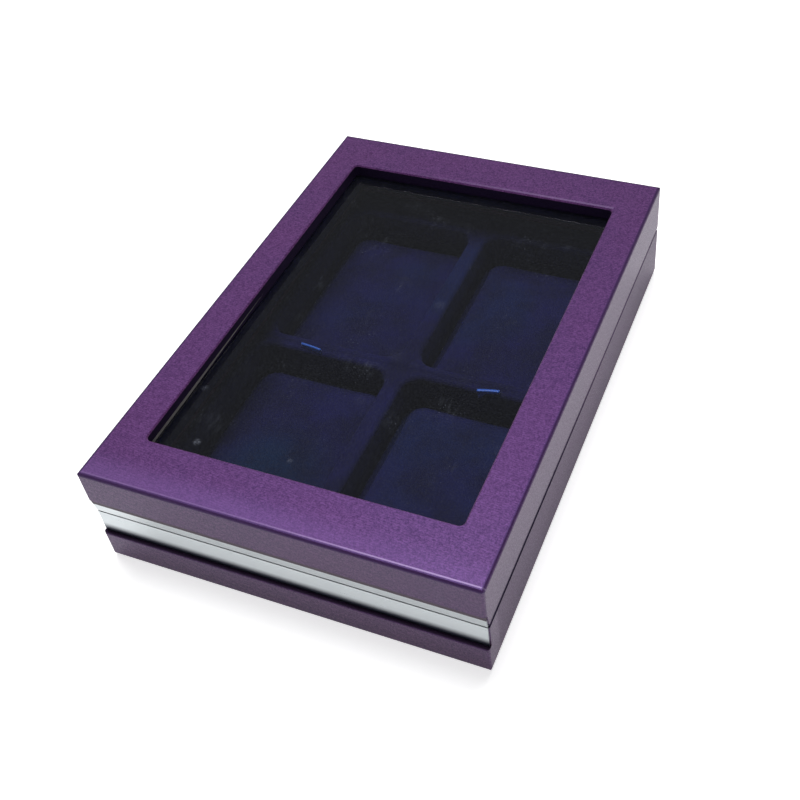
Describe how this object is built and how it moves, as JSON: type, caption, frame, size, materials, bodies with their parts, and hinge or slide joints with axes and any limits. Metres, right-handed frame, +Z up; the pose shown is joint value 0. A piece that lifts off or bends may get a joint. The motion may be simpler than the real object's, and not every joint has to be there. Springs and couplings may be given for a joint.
{
  "type": "cufflink display box",
  "caption": "Flat display box whose windowed lid hinges at the back over a velvet tray of padded wells for cufflinks.",
  "frame": {"origin": "centre of the underside, with the lid shut", "axes": "+X to the right seen from the front, +Y from the banded front to the hinges, +Z up"},
  "size_m": [0.12, 0.1726, 0.0376],
  "materials": {
    "purple_paper_on_board": "pearly purple paper with a fine embossed grain, wrapped over fibreboard",
    "silver_paper": "satin silver paper",
    "clear_pane": "clear and glossy",
    "velvet_lining": "dark navy velvet on card",
    "velvet_tray": "dark indigo velvet over a cut-out board",
    "velvet_pad": "dark indigo velvet over foam",
    "satin_ribbon": "bright blue satin",
    "plated_magnet": "nickel plated",
    "plated_steel": "nickel plated",
    "bare_board": "fibreboard",
    "black_felt": "thin black felt paper"
  },
  "bodies": {
    "base": {"base_panel": "bare_board", "base_front_wall": "purple_paper_on_board", "base_back_wall": "purple_paper_on_board", "base_left_wall": "purple_paper_on_board", "base_right_wall": "purple_paper_on_board", "base_front_band": "silver_paper", "base_sheet": "black_felt", "base_magnets": "plated_magnet", "tray_floor": "velvet_tray", "tray": "velvet_tray", "front_left_pad": "velvet_pad", "front_right_pad": "velvet_pad", "back_left_pad": "velvet_pad", "back_right_pad": "velvet_pad", "left_ribbon": "satin_ribbon", "right_ribbon": "satin_ribbon", "left_hinge_base_leaf": "plated_steel", "right_hinge_base_leaf": "plated_steel", "left_hinge_pin": "plated_steel", "right_hinge_pin": "plated_steel", "base_hinge_screws": "plated_steel"},
    "lid": {"lid_frame": "purple_paper_on_board", "lid_front_wall": "purple_paper_on_board", "lid_back_wall": "purple_paper_on_board", "lid_left_wall": "purple_paper_on_board", "lid_right_wall": "purple_paper_on_board", "lid_front_band": "silver_paper", "window_pane": "clear_pane", "pane_retainer": "velvet_lining", "lid_lining": "velvet_lining", "lid_magnets": "plated_magnet", "left_hinge_lid_leaf": "plated_steel", "right_hinge_lid_leaf": "plated_steel", "lid_hinge_screws": "plated_steel"}
  },
  "joints": [
    {"name": "lid_hinge", "type": "hinge", "parent": "base", "child": "lid", "pos_m": [0, 0.0846, 0.0202], "axis": [-1, 0, 0], "range_deg": [0, 95]}
  ]
}
